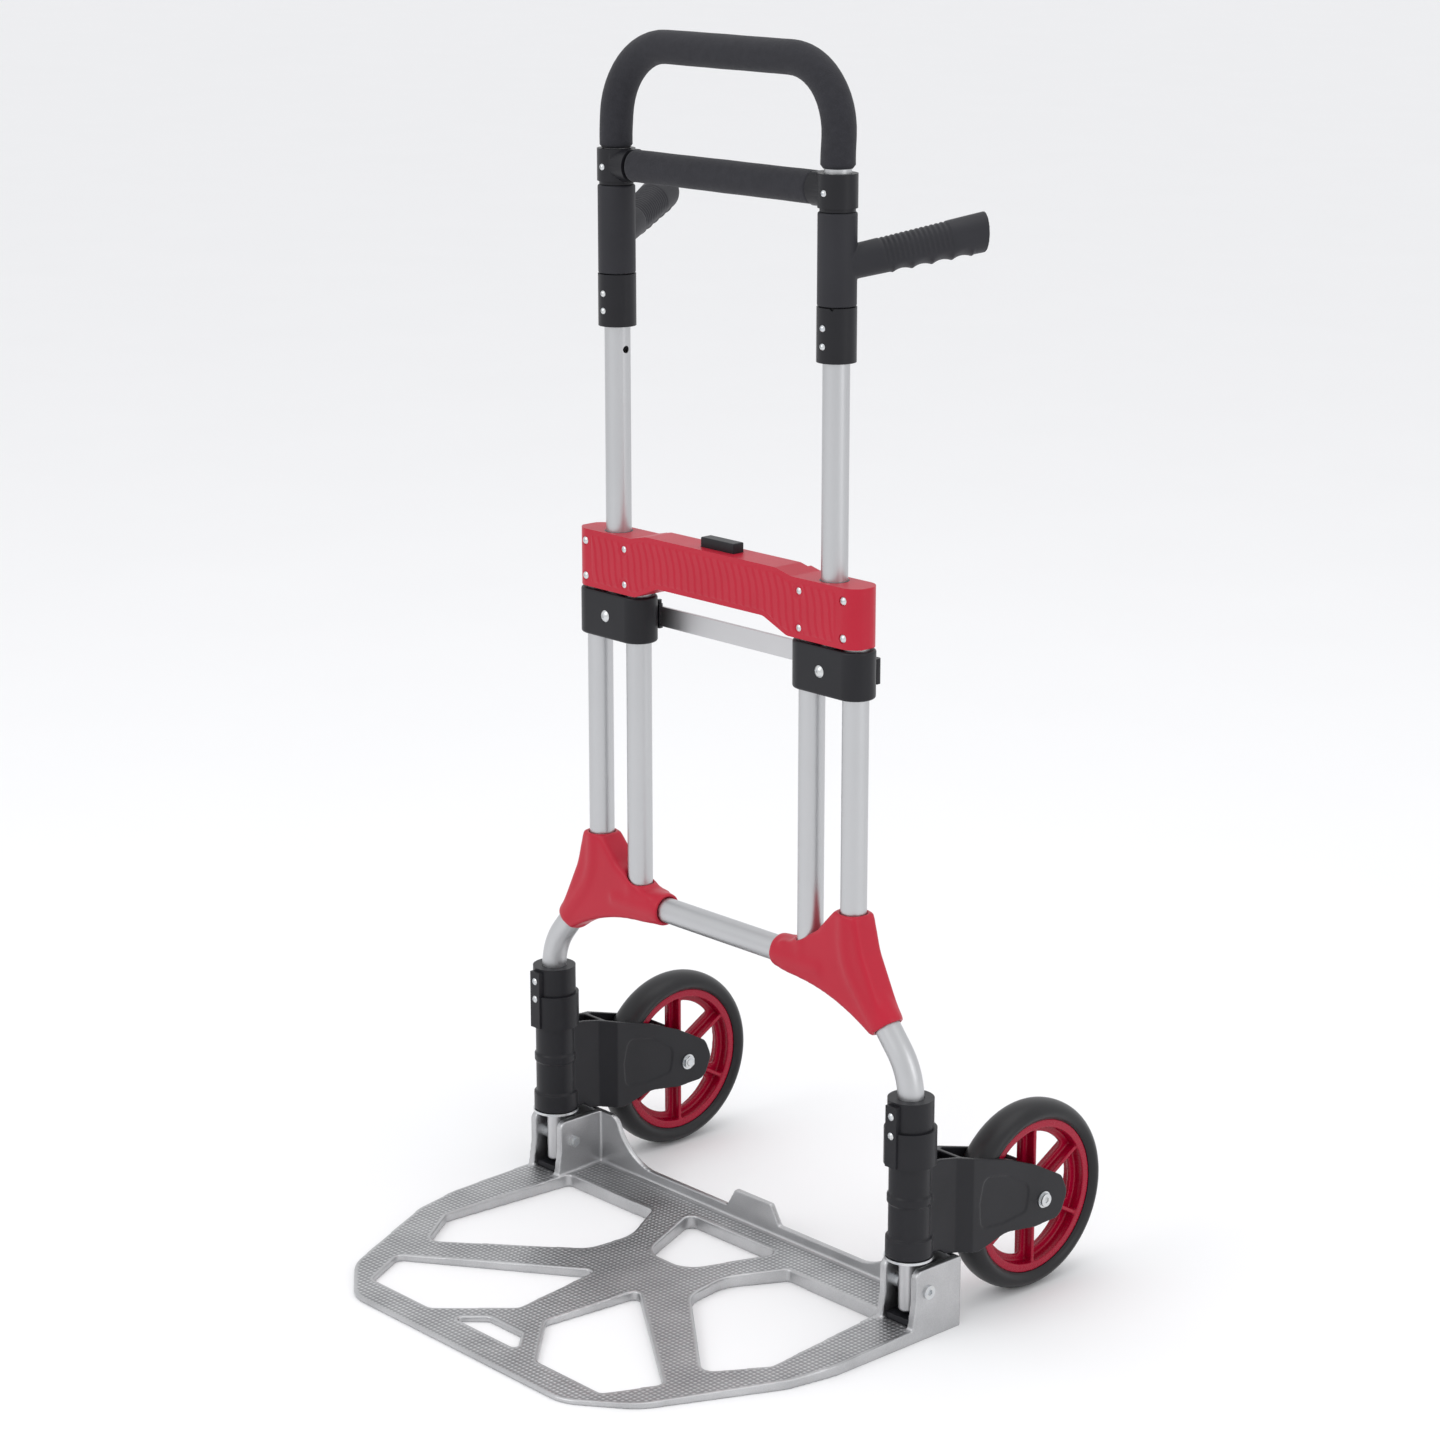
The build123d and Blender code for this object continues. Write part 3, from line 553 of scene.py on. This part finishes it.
def cross_foam():
    low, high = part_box("cross_grip")
    level = (low.z + high.z) / 2
    path = [Vector((x, PLANE_Y, level)) for x in (low.x, high.x)]
    cross_piece = sleeve("cross_foam", path, (high.z - low.z) / 2, 2.5 * MM)
    stand_in(cross_piece, "cross_grip")


SIDE_GRIP_END = (63.5, 111.0, 24.6)    # from the root, in mm
SIDE_GRIP_RISE = SIDE_GRIP_END[2] / math.hypot(*SIDE_GRIP_END[:2])
SIDE_GRIP_PLAN = Vector((*SIDE_GRIP_END[:2], 0)).normalized()
RIBBED = ((40 * MM, 43 * MM), (105 * MM, 108 * MM))
RIB_PITCH = 4.7 * MM
RIB_DEPTH = 1.15 * MM
FINGERED = ((46 * MM, 49 * MM), (122 * MM, 127 * MM))
FINGER_START = 48 * MM
FINGER_PITCH = 18.6 * MM
FINGER_CREST, FINGER_DEPTH = 1.2 * MM, 2.6 * MM
GRIP_ROOT_Z = 0.995
GRIP_RINGS, GRIP_SIDES = 170, 56
BARREL_R = 18 * MM
BARREL_CHAMFER = 1.2 * MM


def grip_radius(place, turn, length):
    """Radius of the side grip: a slow flare, ribs over the top and finger hollows below."""
    radius = 15.3 * MM + 2.7 * MM * place / length
    over = smooth_step(math.sin(turn), -0.45, 0.0)
    under = smooth_step(-math.sin(turn), 0.35, 0.85)
    rib = 0.5 + 0.5 * math.cos(2 * math.pi * place / RIB_PITCH)
    radius -= RIB_DEPTH * over * within(place, *RIBBED) * rib
    hollow = abs(math.sin(math.pi * (place - FINGER_START) / FINGER_PITCH)) ** 0.8
    return radius + under * within(place, *FINGERED) * (FINGER_CREST - FINGER_DEPTH * hollow)


def grip_handle(name, root, plan, end_y):
    """Ribbed handle from root to an upright end face at y = end_y."""
    ahead = (plan + Vector((0, 0, SIDE_GRIP_RISE))).normalized()
    across = Vector((0, 0, 1)).cross(plan)
    up = ahead.cross(across)
    length = (end_y - root.y) / ahead.y - 2.0 * MM
    rings = []
    for i in range(GRIP_RINGS + 1):
        place = length * i / GRIP_RINGS
        tilt = SIDE_GRIP_RISE * smooth_step(place, length * 0.9, length)
        ring = []
        for k in range(GRIP_SIDES):
            turn = 2 * math.pi * k / GRIP_SIDES
            reach = grip_radius(place, turn, length)
            offset = across * math.cos(turn) + (up + ahead * tilt) * math.sin(turn)
            ring.append(root + ahead * place + offset * reach)
        rings.append(ring)
    return rings_to_piece(name, rings)


def grip_barrel(x, low, high):
    """Upright sleeve of a side grip, still solid, with chamfered ends."""
    inset = BARREL_CHAMFER
    profile = ((low, inset), (low + inset, 0), (high - inset, 0), (high, inset))
    return rings_to_piece("barrel", [circle(x, BARREL_R - narrow, z, 72) for z, narrow in profile])


def joined(piece, other):
    """Put the other piece's mesh into the first one."""
    work = bmesh.new()
    work.from_mesh(piece.data)
    work.from_mesh(other.data)
    work.to_mesh(piece.data)
    work.free()
    bpy.data.objects.remove(other)
    return piece


def side_grips():
    """Sleeve and handle fused in one moulding, then bored for the tube."""
    for side, sign in SIDES:
        node = side + "_side_grip"
        low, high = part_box(node)
        root = Vector((sign * HANDLE_X, PLANE_Y, GRIP_ROOT_Z))
        plan = Vector((sign * SIDE_GRIP_PLAN.x, SIDE_GRIP_PLAN.y, 0))
        grip = grip_handle(side + "_grip_moulding", root, plan, high.y)
        fused(joined(grip, grip_barrel(root.x, low.z, high.z)), voxel=0.75 * MM, rounds=2)
        cut(grip, post_cutter(root.x, TUBE_R + 0.1 * MM, low.z, high.z))
        grip.data.shade_smooth()
        grip.data.set_sharp_from_angle(angle=math.radians(40))
        stand_in(grip, node)


# ---------------------------------------------------------------- cross bar
RIB_LEAN = 0.24
RIB_STEP = 9.6 * MM
RIB_RISE = 0.75 * MM
RIB_EDGE = 0.86                        # share of a step before it drops back
RIB_HALF = 172 * MM
RIB_MARGIN = 3.5 * MM
SCREW_X = (0.122, 0.1795)
SCREW_Z = (0.0099, 0.0449)
SCREW_CLEAR = (5.2 * MM, 7.5 * MM)
WAIST = (-108 * MM, -72 * MM)          # across these the bar's underside rises,
WAIST_RISE = 13.5 * MM
SHOULDER = (-112 * MM, -90 * MM)       # and across these its top
RIB_WAVE = 1.6 * MM
RIB_WAVE_LENGTH = 55 * MM
RIB_COLUMNS, RIB_ROWS = 380, 46
BURIED = 1.2 * MM                      # how far the back of the ribs lies inside the bar


def bar_ribs():
    """Slanting wavy steps on the front of the cross bar, fading out before its edges and screws."""
    low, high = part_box("crossbar_front")
    bar_low, bar_high = low.z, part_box("crossbar_bushes")[1].z
    front = low.y
    grid_x = np.linspace(-RIB_HALF, RIB_HALF, RIB_COLUMNS)
    share = np.linspace(0, 1, RIB_ROWS)
    x, s = np.meshgrid(grid_x, share, indexing="ij")
    waist = smooth_step(-np.abs(x), *WAIST)
    shoulder = smooth_step(-np.abs(x), *SHOULDER)
    bottom = bar_low + RIB_MARGIN + waist * WAIST_RISE
    top = bar_high - RIB_MARGIN + shoulder * (high.z - bar_high)
    z = bottom + (top - bottom) * s
    wave = RIB_WAVE * np.sin((z - bar_low) * 2 * math.pi / RIB_WAVE_LENGTH)
    phase = ((x + RIB_LEAN * z + wave) / RIB_STEP) % 1.0
    tooth = np.where(phase < RIB_EDGE, phase / RIB_EDGE, (1 - phase) / (1 - RIB_EDGE))
    fade = smooth_step(s, 0.0, 0.06) * smooth_step(1 - s, 0.0, 0.06)
    fade *= smooth_step(RIB_HALF - np.abs(x), 0, 4 * MM)
    screws = [(sign * sx, bar_low + sz) for _, sign in SIDES for sx in SCREW_X for sz in SCREW_Z]
    for screw_x, screw_z in screws:
        fade *= smooth_step(np.hypot(x - screw_x, z - screw_z), *SCREW_CLEAR)
    y = front - RIB_RISE * tooth * fade + 0.25 * MM * (1 - fade)
    piece = slab("bar_ribs", np.stack([x, y, z], -1), np.stack([x, np.full_like(x, front + BURIED), z], -1))
    piece.data.shade_smooth()
    piece.data.set_sharp_from_angle(angle=math.radians(30))
    extra(piece, "crossbar_front")


def slab(name, outer, inner):
    """Closed piece between two grids of points of the same size."""
    columns, rows = outer.shape[:2]
    total = columns * rows
    faces = []
    for i in range(columns - 1):
        for j in range(rows - 1):
            a, b, c, d = i * rows + j, (i + 1) * rows + j, (i + 1) * rows + j + 1, i * rows + j + 1
            faces.append((a, b, c, d))
            faces.append((total + d, total + c, total + b, total + a))
    loop = [i * rows for i in range(columns)] + [(columns - 1) * rows + j for j in range(1, rows)]
    loop += [i * rows + rows - 1 for i in range(columns - 2, -1, -1)] + [j for j in range(rows - 2, 0, -1)]
    for a, b in zip(loop, loop[1:] + loop[:1]):
        faces.append((a, total + a, total + b, b))
    return from_faces(name, np.concatenate([outer.reshape(-1, 3), inner.reshape(-1, 3)]), faces)


# ---------------------------------------------------------------- pieces with rounded edges
# widths in mm
EDGED = {
    "crossbar_front": 1.4, "crossbar_rear": 1.4, "release_button": 0.8, "tie_strap": 0.5,
    "strap_ends": 1.0, "clevis_pads": 0.8,
}
EDGED_PAIRS = {
    "clamp": 0.6, "post_collar": 0.9, "tee_fitting": 1.0, "stop_collar": 0.8, "post_foot": 0.6,
    "axle_nut": 0.4, "axle_bolt": 0.4,
}


def edged_pieces():
    widths = dict(EDGED)
    for stem, width in EDGED_PAIRS.items():
        for side, _ in SIDES:
            widths[f"{side}_{stem}"] = width
    for node, width in widths.items():
        stand_in(edged(copy_of(node, node + "_piece"), width * MM), node)


def button_spring():
    """The coil as a smooth-shaded piece with its own mesh, in the spring's place."""
    piece = stand_in(copy_of("button_spring", "button_spring_coil"), "button_spring")
    piece.data.shade_smooth()
    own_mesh(piece)


def dress_nodes():
    """Every node that stays gets its finish."""
    for node, shown in frame["nodes"].items():
        if not shown.hide_render:
            shown.data.materials.clear()
            shown.data.materials.append(FINISHES[SLOT_OF[node]])


# ---------------------------------------------------------------- studio
FLOOR_HALF = 40.0
AIR, AIR_STRENGTH = (0.95, 0.955, 0.97, 1), 0.95
AIM = Vector((0, 0.05, 0.55))
SOFTBOXES = (
    ("key", (-0.6, -3.2, 2.6), (1.8, 1.8), 24),
    ("side", (3.4, 0.6, 1.6), (1.2, 2.2), 12),
    ("overhead", (0.2, 0.4, 3.4), (2.4, 2.4), 18),
)
CAMERA_FROM_POSTS = Vector((2.3906, -2.1987, 1.4138))
TARGET_FROM_POSTS = Vector((-0.0046, 0, 0.5448))
LENS = 88.0


def placed(name, data, place, target):
    """Lamp or camera at a place, turned to the target."""
    thing = bpy.data.objects.new(name, data)
    bpy.context.scene.collection.objects.link(thing)
    turn = (target - Vector(place)).to_track_quat("-Z", "Y").to_matrix().to_4x4()
    thing.matrix_world = Matrix.Translation(place) @ turn
    return thing


def paper_floor():
    corners = [(x * FLOOR_HALF, y * FLOOR_HALF, 0) for x, y in ((-1, -1), (1, -1), (1, 1), (-1, 1))]
    floor = from_faces("floor", corners, [(0, 1, 2, 3)])
    paper = Finish("paper")
    paper.colour(paper.noise(3.0), (0.93, 0.93, 0.935), (0.95, 0.95, 0.955))
    paper.roughness(0.8 + 0.1 * paper.noise(60.0))
    floor.data.materials.append(paper.material)


def daylight():
    world = bpy.data.worlds.new("studio")
    bpy.context.scene.world = world
    world.use_nodes = True
    background = world.node_tree.nodes["Background"]
    background.inputs["Color"].default_value = AIR
    background.inputs["Strength"].default_value = AIR_STRENGTH
    for name, place, size, power in SOFTBOXES:
        light = bpy.data.lights.new(name, "AREA")
        light.shape = "RECTANGLE"
        light.size, light.size_y = size
        light.energy = power
        placed(name, light, place, AIM)


def camera():
    lens = bpy.data.cameras.new("camera")
    lens.lens, lens.sensor_width = LENS, 36.0
    lens.clip_end = 100.0
    posts = Vector((0, PLANE_Y, 0))
    scene = bpy.context.scene
    scene.camera = placed("camera", lens, posts + CAMERA_FROM_POSTS, posts + TARGET_FROM_POSTS)
    scene.view_settings.view_transform = "Standard"


def build():
    make_finishes()
    toe_plate()
    gussets()
    brackets()
    rims()
    top_foam()
    cross_foam()
    side_grips()
    bar_ribs()
    edged_pieces()
    button_spring()
    dress_nodes()
    paper_floor()
    daylight()
    camera()


build()
